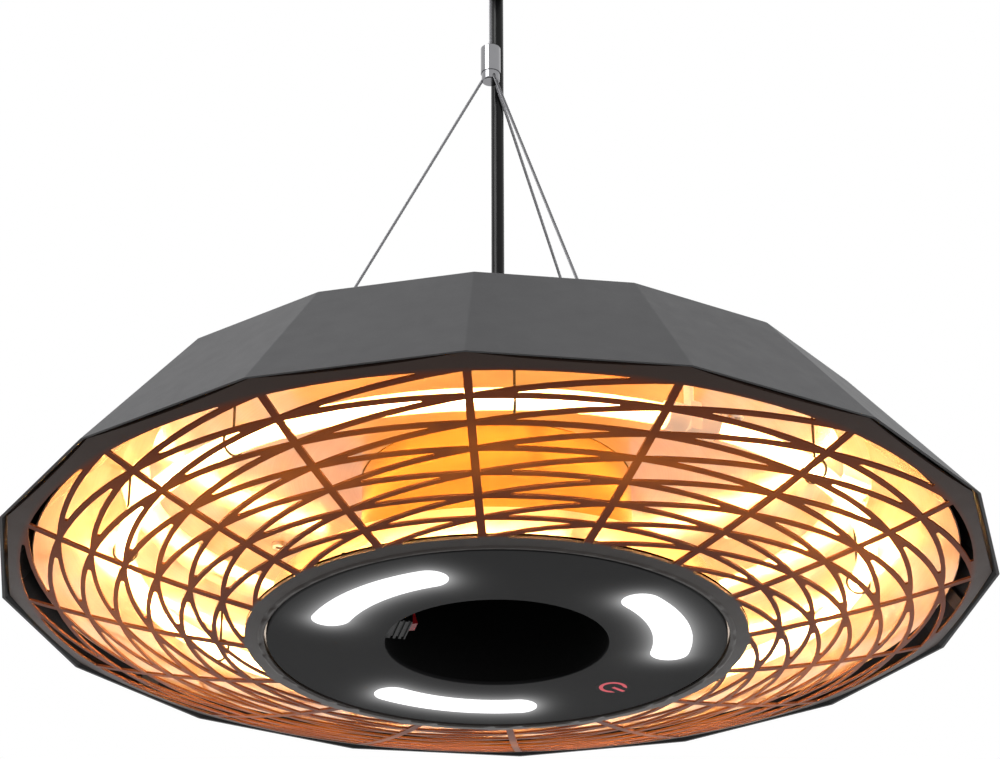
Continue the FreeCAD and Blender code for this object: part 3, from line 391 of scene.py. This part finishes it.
def hairline(name, colour, roughness, across, metallic):
    """Sheet metal with fine lines round the axis, one beside the other across the radius or the height."""
    material, tree, surface = finish(name, {"Metallic": metallic})
    radius, azimuth, height = polar(tree)
    step = radius if across == "radius" else height
    drift = calc(tree, "MULTIPLY", calc(tree, "SINE", azimuth), HAIRLINE_DRIFT)
    close = vector_of(tree, calc(tree, "MULTIPLY", step, HAIRLINES), drift, 0.0)
    wide = vector_of(tree, calc(tree, "MULTIPLY", step, HAIRLINE_BANDS), drift, BAND_OFFSET)
    lines = noise(tree, scale=1.0, detail=4.0, vector=close)
    bands = noise(tree, scale=1.0, detail=2.0, vector=wide)
    mixed = blend(tree, lines, bands, share=0.6)
    join(tree, mottle(tree, mixed, colour, darkest=0.80, lightest=1.12), surface, "Base Color")
    join(tree, spread(tree, mixed, low=roughness * 0.75, high=roughness * 1.25), surface, "Roughness")
    join(tree, bump(tree, lines, distance=0.00002), surface, "Normal")
    return material


def hot_filament(glow):
    """Glowing wire, darker between the turns of its coil."""
    material, tree, surface = finish("hot_filament", {"Roughness": 0.6,
                                                      "Emission Strength": glow.lamp_strength})
    azimuth = polar(tree)[1]
    wave = calc(tree, "SINE", calc(tree, "MULTIPLY", azimuth, COIL_TURNS))
    coil = spread(tree, wave, low=0.0, high=1.0, start=-1.0, end=1.0)
    join(tree, mottle(tree, coil, glow.lamp, darkest=0.7, lightest=1.0), surface, "Emission Color")
    return material


def quartz_tube(glow):
    """Clear tube that glows along the filament and is dark at its two ends."""
    material, tree, surface = finish("quartz_tube", {"Alpha": 0.5, "Roughness": 0.05,
                                                     "Emission Strength": glow.tube_strength})
    azimuth = polar(tree)[1]
    gap = calc(tree, "ABSOLUTE", calc(tree, "SINE", calc(tree, "SUBTRACT", azimuth, LAMP_GAP)))
    lit = spread(tree, gap, low=0.0, high=1.0, start=math.sin(TUBE_DARK), end=math.sin(TUBE_LIT))
    join(tree, tint(tree, lit, TUBE_END, glow.tube), surface, "Emission Color")
    join(tree, tint(tree, noise(tree, scale=300.0), *QUARTZ), surface, "Base Color")
    return material


def ceramic_painted_glow(glow):
    """Pale ceramic with a painted glow that stands for the lamps' light falling on it."""
    material = moulded("ceramic_painted_glow", CERAMIC, roughness=0.7, grain=0.00005)
    surface = surface_of(material.node_tree)
    # Painted lamp light: emission on the ceramic in place of the lamps' light on it.
    surface.inputs["Emission Color"].default_value = (*glow.ceramic, 1.0)
    surface.inputs["Emission Strength"].default_value = 1.0
    return material


def window_distance(tree, radius, azimuth):
    """Distance from the edge of the nearest light window, a bent slot with round ends."""
    pitch = 2 * math.pi / WINDOW_COUNT
    turn = calc(tree, "WRAP", calc(tree, "SUBTRACT", azimuth, FIRST_WINDOW), pitch / 2, -pitch / 2)
    bend = WINDOW_SPAN / 2 - WINDOW_WIDTH / 2 / WINDOW_RADIUS
    past = calc(tree, "MAXIMUM", calc(tree, "SUBTRACT", calc(tree, "ABSOLUTE", turn), bend), 0.0)
    along = calc(tree, "MULTIPLY", past, radius)
    aside = calc(tree, "SUBTRACT", radius, WINDOW_RADIUS)
    return calc(tree, "SUBTRACT", length_of(tree, along, aside), WINDOW_WIDTH / 2)


def panel_plastic(coat, glow):
    """Dark plastic with a painted halo of light round each window."""
    material = moulded("panel_plastic", coat.panel, roughness=0.42, grain=coat.grain, shine=PANEL_SHINE)
    tree = material.node_tree
    surface = surface_of(tree)
    radius, azimuth, height = polar(tree)
    away = window_distance(tree, radius, azimuth)
    fall = calc(tree, "DIVIDE", calc(tree, "MULTIPLY", away, -1.0), glow.halo_reach)
    front = calc(tree, "LESS_THAN", height, PANEL_FACE_Z)
    halo = calc(tree, "MULTIPLY", calc(tree, "EXPONENT", fall), front)
    lit = calc(tree, "MINIMUM", halo, 1.0)
    join(tree, tint(tree, lit, BLACK, PANEL_HALO), surface, "Emission Color")
    surface.inputs["Emission Strength"].default_value = HALO_STRENGTH
    return material


def lit_plastic(name, strength, roughness, cloud_scale, glow_ends, face_ends):
    """Plastic lit from behind, a little uneven in its light and its colour."""
    material, tree, surface = finish(name, {"Roughness": roughness, "Emission Strength": strength})
    soft = noise(tree, scale=cloud_scale, detail=1.0)
    join(tree, tint(tree, soft, *glow_ends), surface, "Emission Color")
    join(tree, tint(tree, soft, *face_ends), surface, "Base Color")
    return material


def cord_sheath(rubber):
    """Smooth rubber with faint streaks along the cord."""
    material, tree, surface = finish("cord_sheath", {"Specular IOR Level": CORD_SHINE})
    streaked = node(tree, "Mapping", {"Vector": place_of(tree), "Scale": SHEATH_STREAKS}).outputs[0]
    streaks = noise(tree, scale=1.0, vector=streaked)
    join(tree, mottle(tree, streaks, rubber, darkest=0.7, lightest=1.4), surface, "Base Color")
    join(tree, spread(tree, streaks, low=0.16, high=0.26), surface, "Roughness")
    join(tree, bump(tree, streaks, distance=0.00004), surface, "Normal")
    return material


def pale_floor(lift):
    """Pale floor that keeps the shadow, throws little light back and is clear from below."""
    material, tree, surface = finish("pale_floor", {"Roughness": 0.9, "Specular IOR Level": FLOOR_SHINE,
                                                    "Emission Color": (*WHITE, 1.0)})
    join(tree, calc(tree, "MULTIPLY", seen(tree), lift), surface, "Emission Strength")
    pale = tint(tree, noise(tree, scale=8.0), *FLOOR_PALE)
    bounced = node(tree, "LightPath").outputs["Is Diffuse Ray"]
    join(tree, tint(tree, bounced, pale, FLOOR_BOUNCE), surface, "Base Color")
    clear = node(tree, "BsdfTransparent").outputs[0]
    under = node(tree, "NewGeometry").outputs["Backfacing"]
    mixed = node(tree, "MixShader", {0: under, 1: surface.outputs[0], 2: clear})
    output = next(one for one in tree.nodes if one.type == "OUTPUT_MATERIAL")
    join(tree, mixed.outputs[0], output, "Surface")
    return material


def smooth_line(name, points, steps):
    """Curve with one smooth spline that has the points as its control points."""
    curve = bpy.data.curves.new(name, "CURVE")
    curve.dimensions = "3D"
    spline = curve.splines.new("NURBS")
    spline.points.add(len(points) - 1)
    for point, spot in zip(spline.points, points):
        point.co = (*spot, 1.0)
    spline.order_u = SPLINE_ORDER
    spline.use_endpoint_u = True
    spline.resolution_u = steps
    line = bpy.data.objects.new(name, curve)
    bpy.context.scene.collection.objects.link(line)
    return line


def line_points(points, steps):
    """Points along the smooth spline of a route."""
    route = smooth_line("route", points, steps)
    bpy.context.view_layer.update()
    mesh = bpy.data.meshes.new_from_object(route.evaluated_get(bpy.context.evaluated_depsgraph_get()))
    found = [vertex.co.copy() for vertex in mesh.vertices]
    bpy.data.meshes.remove(mesh)
    bpy.data.objects.remove(route)
    return found


def add_tube(mesh, rings):
    """Joins rings of points to one closed tube."""
    for first, second in zip(rings, rings[1:]):
        for step in range(STRAND_SIDES):
            after = (step + 1) % STRAND_SIDES
            mesh.faces.new((first[step], first[after], second[after], second[step])).smooth = True
    mesh.faces.new(rings[0][::-1])
    mesh.faces.new(rings[-1])


def stranded(name, start, end, radius, strands, lay_length):
    """Wire rope with helical strands round a core, between two points."""
    along = (end - start).normalized()
    side = along.orthogonal().normalized()
    other = along.cross(side)
    run = along * (RUN_OUT * 2 * radius)
    line = line_points([start, start + run, end - run, end], ROPE_STEPS)
    thick = radius / (1 + 1 / math.sin(math.pi / strands))
    circle = radius - thick
    mesh = bmesh.new()
    for strand in range(strands + 1):
        core = strand == strands
        size = circle - thick * CORE_INSET if core else thick
        rings = []
        for spot in line:
            turn = 2 * math.pi * ((spot - start).length / lay_length + strand / strands)
            out = side * math.cos(turn) + other * math.sin(turn)
            tangent = along.cross(out)
            centre = spot if core else spot + out * circle
            ring = []
            for step in range(STRAND_SIDES):
                angle = 2 * math.pi * step / STRAND_SIDES
                outward = out * size * math.cos(angle)
                ring.append(mesh.verts.new(centre + outward + tangent * size * math.sin(angle)))
            rings.append(ring)
        add_tube(mesh, rings)
    bmesh.ops.recalc_face_normals(mesh, faces=mesh.faces)
    data = bpy.data.meshes.new(name)
    mesh.to_mesh(data)
    mesh.free()
    rope = bpy.data.objects.new(name, data)
    bpy.context.scene.collection.objects.link(rope)
    return rope


class HEATER_OT_housing(bpy.types.Operator):
    """Coats the housing, the junction box and the canopy"""
    bl_idname = "heater.housing"
    bl_label = "Coat the housing"

    def execute(self, context):
        coat = context.scene.heater_coat
        shell_coat = powder_coat("shell_coat", self.painted_inner_shade, roughness=0.46, grain=coat.grain)
        dress(shell_coat, "housing_shell", "junction_box", "ceiling_canopy")
        return {"FINISHED"}

    def painted_inner_shade(self, tree):
        """The coat's colour, and painted shade on the faces that look inwards: a much darker shade of the
        coat.
        """
        coat = bpy.context.scene.heater_coat
        flat = {0: place_of(tree), 1: (1.0, 1.0, 0.0)}
        level = node(tree, "VectorMath", flat, operation="MULTIPLY").outputs[0]
        facing = node(tree, "NewGeometry").outputs["Normal"]
        outward = node(tree, "VectorMath", {0: level, 1: facing}, operation="DOT_PRODUCT").outputs["Value"]
        inward = calc(tree, "LESS_THAN", outward, INWARD_LIMIT)
        # Painted shade: faces that look inwards get a much darker shade of the coat.
        return tint(tree, inward, coat.shell, shade(coat.shell, INNER_PAINTED_SHADE))


class HEATER_OT_grille(bpy.types.Operator):
    """Coats the domed grille, with painted warm light from the lamps behind it glowing on its struts"""
    bl_idname = "heater.grille"
    bl_label = "Coat the grille"

    def execute(self, context):
        coat = context.scene.heater_coat
        dress(powder_coat("grille_coat", self.zones, roughness=0.42, grain=coat.grain), "grille")
        return {"FINISHED"}

    def zones(self, tree):
        """Colours of the hub ring, the struts and the flange, and painted shade on the high faces by the
        hub ring; the struts also glow with painted lamp light.
        """
        coat = bpy.context.scene.heater_coat
        surface = surface_of(tree)
        radius, _, height = polar(tree)
        past_ring = spread(tree, radius, 0.0, 1.0, *STRUT_FADE)
        before_flange = spread(tree, radius, 1.0, 0.0, *FLANGE_FADE)
        # Painted shade: the high faces by the hub ring take the near-black recess colour and lose their
        # shine.
        near = calc(tree, "LESS_THAN", radius, COLLAR_RADIUS)
        painted_shade_collar = calc(tree, "MULTIPLY", near, calc(tree, "GREATER_THAN", height, COLLAR_Z))
        open_face = calc(tree, "SUBTRACT", 1.0, painted_shade_collar)
        rows = calc(tree, "MULTIPLY", calc(tree, "MULTIPLY", past_ring, before_flange), open_face)
        # Painted lamp light: the struts glow by emission, though they are no lamp.
        join(tree, tint(tree, rows, BLACK, self.heat(tree, radius)), surface, "Emission Color")
        surface.inputs["Emission Strength"].default_value = 1.0
        shine = calc(tree, "MULTIPLY", spread(tree, rows, COAT_SHINE, STRUT_SHINE), open_face)
        join(tree, shine, surface, "Specular IOR Level")
        faces = tint(tree, past_ring, coat.hub_ring, tint(tree, before_flange, coat.flange, coat.strut))
        return tint(tree, painted_shade_collar, faces, coat.recess)

    def heat(self, tree, radius):
        """Painted lamp light on the struts, a little patchy and strongest right under the lamps."""
        glow = bpy.context.scene.heater_glow
        off = calc(tree, "DIVIDE", calc(tree, "SUBTRACT", radius, LAMP_CIRCLE), GLOW_WIDTH)
        peak = calc(tree, "EXPONENT", calc(tree, "MULTIPLY", calc(tree, "MULTIPLY", off, off), -1.0))
        clouds = noise(tree, scale=34.0, detail=2.0)
        patches = spread(tree, clouds, low=0.4, high=1.0, start=0.35, end=0.75)
        return tint(tree, calc(tree, "MULTIPLY", peak, patches), glow.warm, glow.hot)


class HEATER_OT_reflector(bpy.types.Operator):
    """Finishes the reflector, the drum and the tray as hairline sheet"""
    bl_idname = "heater.reflector"
    bl_label = "Finish the reflector"

    def execute(self, context):
        metal = context.scene.heater_metal
        dress(hairline("reflector_sheet", metal.reflector, roughness=0.12, across="radius", metallic=0.5),
              "reflector")
        dress(hairline("drum_sheet", metal.drum, roughness=0.20, across="height", metallic=0.8),
              "drum")
        dress(hairline("tray_sheet", metal.reflector, roughness=0.18, across="radius", metallic=0.7),
              "hub_tray")
        return {"FINISHED"}


class HEATER_OT_lamps(bpy.types.Operator):
    """Lights the filaments and finishes the quartz tubes, their ceramic ends and the wire clips"""
    bl_idname = "heater.lamps"
    bl_label = "Light the lamps"

    def execute(self, context):
        glow = context.scene.heater_glow
        dress(hot_filament(glow), "lamp_filaments")
        dress(quartz_tube(glow), "lamp_right", "lamp_left")
        dress(ceramic_painted_glow(glow), "lamp_ends", "lamp_holders")
        dress(plated("clip_wire", CLIP_WIRE, roughness=0.4), "lamp_clips", "grille_clips")
        return {"FINISHED"}


class HEATER_OT_hub(bpy.types.Operator):
    """Finishes the hub panel with its lit windows, the touch key and the recess"""
    bl_idname = "heater.hub"
    bl_label = "Finish the hub"

    def execute(self, context):
        coat = context.scene.heater_coat
        glow = context.scene.heater_glow
        dress(panel_plastic(coat, glow), "hub_panel")
        dress(moulded("key_plastic", coat.panel, roughness=0.38, grain=coat.grain, shine=PANEL_SHINE),
              "touch_key")
        dress(lit_plastic("window_lens", glow.window_strength, roughness=0.35, cloud_scale=60.0,
                          glow_ends=LENS_GLOW, face_ends=LENS_FACE), "light_lenses")
        dress(lit_plastic("lit_symbol", strength=0.5, roughness=0.4, cloud_scale=200.0,
                          glow_ends=SYMBOL_GLOW, face_ends=SYMBOL_FACE), "key_symbol")
        dress(moulded("recess_plastic", coat.recess, roughness=0.55, grain=coat.grain), "recess_cup")
        return {"FINISHED"}


class HEATER_OT_switch(bpy.types.Operator):
    """Finishes the mains switch in the recess"""
    bl_idname = "heater.switch"
    bl_label = "Finish the switch"

    def execute(self, context):
        coat = context.scene.heater_coat
        block = shade(coat.recess, factor=2.0)
        dress(moulded("switch_plastic", block, roughness=0.35, grain=coat.grain), "switch_block")
        dress(moulded("rocker_plastic", ROCKER_RED, roughness=0.18, grain=0.00001), "switch_rocker")
        return {"FINISHED"}


class HEATER_OT_suspension(bpy.types.Operator):
    """Plates the wire gripper, the anchors, the bracket and the small fasteners"""
    bl_idname = "heater.suspension"
    bl_label = "Plate the fittings"

    def execute(self, context):
        metal = context.scene.heater_metal
        dress(plated("gripper_chrome", metal.chrome, roughness=0.10),
              "gripper_body", "release_nipple", "leg_ferrule", "leg_terminals", "leg_anchors", "stud_cap")
        dress(plated("zinc_plate", metal.zinc, roughness=0.30),
              "ceiling_bracket", "canopy_screws", "anchor_stud", "anchor_nuts", "box_screws",
              "reflector_spacers", "spacer_screws", "reflector_screws", "drum_screws",
              "hub_nuts", "panel_screws", "light_board_screws", "thermal_cutout", "wire_ball")
        return {"FINISHED"}


class HEATER_OT_wires(bpy.types.Operator):
    """Lays the stranded steel wires along their straight lines"""
    bl_idname = "heater.wires"
    bl_label = "Lay the steel wires"

    def execute(self, context):
        metal = context.scene.heater_metal
        steel = plated("wire_steel", metal.steel, roughness=0.34)
        low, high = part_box("main_wire")
        middle = (low + high) / 2
        radius = (high.x - low.x) / 2
        runs = [("main_wire", Vector((middle.x, middle.y, low.z)), Vector((middle.x, middle.y, high.z)))]
        for number, azimuth in enumerate(LEG_AZIMUTHS):
            foot = Vector((LEG_FOOT_RADIUS * math.sin(azimuth), -LEG_FOOT_RADIUS * math.cos(azimuth),
                           LEG_FOOT_Z))
            line = foot - LEG_APEX
            start = LEG_APEX + line * (LEG_START_RADIUS / line.xy.length)
            runs.append((f"leg_wire_{number + 1}", start, foot - line.normalized() * LEG_END_GAP))
        for name, start, end in runs:
            rope = stranded(name + "_rope", start, end, radius, metal.strands, metal.lay_length)
            rope.data.materials.append(steel)
            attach(rope, "heater")
            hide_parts(name)
            dress(steel, name)
        return {"FINISHED"}


class HEATER_OT_cord(bpy.types.Operator):
    """Runs the mains cord from the gland up into the canopy, and finishes its boot and bush"""
    bl_idname = "heater.cord"
    bl_label = "Run the mains cord"

    def execute(self, context):
        coat = context.scene.heater_coat
        sheath = cord_sheath(coat.rubber)
        low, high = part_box("power_cord")
        diameter = high.x - low.x
        x, y = (low.x + high.x) / 2, (low.y + high.y) / 2
        run = RUN_OUT * diameter
        route = [(x, y, height) for height in (low.z, low.z + run, high.z - run, high.z)]
        cord = smooth_line("mains_cord", route, CORD_STEPS)
        cord.data.bevel_depth = diameter / 2
        cord.data.bevel_resolution = CORD_BEVEL
        cord.data.use_fill_caps = True
        cord.data.materials.append(sheath)
        dress(sheath, "power_cord")
        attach(cord, "heater")
        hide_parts("power_cord")
        boot = shade(coat.rubber, factor=1.3)
        dress(moulded("boot_rubber", boot, roughness=0.5, grain=coat.grain), "cord_boot", "cord_bush")
        return {"FINISHED"}


class HEATER_OT_insides(bpy.types.Operator):
    """Finishes the boards, the cable gland and the plastic pieces inside"""
    bl_idname = "heater.insides"
    bl_label = "Finish the insides"

    def execute(self, context):
        coat = context.scene.heater_coat
        dress(moulded("board_lacquer", BOARD_GREEN, roughness=0.3, grain=0.00002),
              "control_board", "light_board", "touch_board")
        dress(moulded("black_moulding", MOULDING_BLACK, roughness=0.4, grain=coat.grain),
              "cable_gland", "gland_nut", "board_pillars", "relay", "supply_module", "light_driver")
        dress(moulded("white_moulding", MOULDING_WHITE, roughness=0.45, grain=coat.grain), "terminal_block")
        dress(moulded("chip_phosphor", CHIP_YELLOW, roughness=0.5, grain=0.00002), "light_chips")
        return {"FINISHED"}


class HEATER_OT_stage(bpy.types.Operator):
    """Sets the floor, the lights, the pale room and the camera"""
    bl_idname = "heater.stage"
    bl_label = "Set the stage"

    def execute(self, context):
        stage = context.scene.heater_stage
        self.room(context.scene, stage)
        self.floor(context.scene, stage)
        self.light(context.scene, "key_light", stage.key_power, KEY_SPOT, KEY_TARGET, KEY_SIZE)
        self.light(context.scene, "fill_light", stage.fill_power, FILL_SPOT, FILL_TARGET, FILL_SIZE)
        self.camera(context.scene, stage)
        return {"FINISHED"}

    def room(self, scene, stage):
        """White room that gives less light than it shows."""
        world = bpy.data.worlds.new("pale_room")
        world.use_nodes = True
        tree = world.node_tree
        tree.nodes.clear()
        strength = spread(tree, seen(tree), stage.room_light, 1.0)
        sky = node(tree, "Background", {"Color": (*WHITE, 1.0), "Strength": strength})
        node(tree, "OutputWorld", {"Surface": sky.outputs[0]})
        scene.world = world

    def floor(self, scene, stage):
        """Square floor under the heater."""
        mesh = bpy.data.meshes.new("floor")
        sides = ((-1, -1), (1, -1), (1, 1), (-1, 1))
        corners = [(x * FLOOR_HALF, y * FLOOR_HALF, stage.floor_z) for x, y in sides]
        mesh.from_pydata(corners, [], [(0, 1, 2, 3)])
        floor = bpy.data.objects.new("floor", mesh)
        scene.collection.objects.link(floor)
        mesh.materials.append(pale_floor(stage.floor_lift))

    def light(self, scene, name, power, spot, target, size):
        """Square soft light that looks at its target."""
        data = bpy.data.lights.new(name, "AREA")
        data.energy = power
        data.size = size
        lamp = bpy.data.objects.new(name, data)
        lamp.location = spot
        lamp.rotation_euler = (Vector(target) - Vector(spot)).to_track_quat("-Z", "Y").to_euler()
        scene.collection.objects.link(lamp)

    def camera(self, scene, stage):
        """Camera that looks up at the heater, turned by its heading, pitch and roll."""
        data = bpy.data.cameras.new("view")
        data.lens = stage.lens
        data.sensor_fit = "HORIZONTAL"
        data.sensor_width = SENSOR_WIDTH_MM
        data.clip_end = CAMERA_REACH
        view = bpy.data.objects.new("view", data)
        scene.collection.objects.link(view)
        level = math.cos(CAMERA_PITCH)
        ahead = Vector((-math.sin(CAMERA_HEADING) * level, math.cos(CAMERA_HEADING) * level,
                        math.sin(CAMERA_PITCH)))
        right = ahead.cross(Vector((0.0, 0.0, 1.0))).normalized()
        up = right.cross(ahead)
        across = right * math.cos(CAMERA_ROLL) + up * math.sin(CAMERA_ROLL)
        upward = across.cross(ahead)
        turned = Matrix((across, upward, -ahead)).transposed().to_4x4()
        view.matrix_world = Matrix.Translation(CAMERA_SPOT) @ turned
        scene.camera = view
        scene.view_settings.view_transform = "Standard"


class HEATER_PT_panel(bpy.types.Panel):
    """Lists the heater's steps and settings"""
    bl_idname = "HEATER_PT_panel"
    bl_label = "Heater"
    bl_space_type = "VIEW_3D"
    bl_region_type = "UI"
    bl_category = "Heater"

    def draw(self, context):
        for operator in OPERATORS:
            self.layout.operator(operator.bl_idname)
        for group in GROUPS:
            held = getattr(context.scene, group)
            for name in held.__annotations__:
                self.layout.prop(held, name)


GROUPS = {
    "heater_coat": HeaterCoat,
    "heater_glow": HeaterGlow,
    "heater_metal": HeaterMetal,
    "heater_stage": HeaterStage,
}
OPERATORS = (
    HEATER_OT_housing,
    HEATER_OT_grille,
    HEATER_OT_reflector,
    HEATER_OT_lamps,
    HEATER_OT_hub,
    HEATER_OT_switch,
    HEATER_OT_suspension,
    HEATER_OT_wires,
    HEATER_OT_cord,
    HEATER_OT_insides,
    HEATER_OT_stage,
)


def register():
    for made in (*GROUPS.values(), *OPERATORS, HEATER_PT_panel):
        bpy.utils.register_class(made)
    for name, group in GROUPS.items():
        setattr(bpy.types.Scene, name, PointerProperty(type=group))


def unregister():
    for name in GROUPS:
        delattr(bpy.types.Scene, name)
    for made in (HEATER_PT_panel, *reversed(OPERATORS), *GROUPS.values()):
        bpy.utils.unregister_class(made)


def main():
    register()
    for operator in OPERATORS:
        group, name = operator.bl_idname.split(".")
        getattr(getattr(bpy.ops, group), name)()


if __name__ == "__main__":
    main()
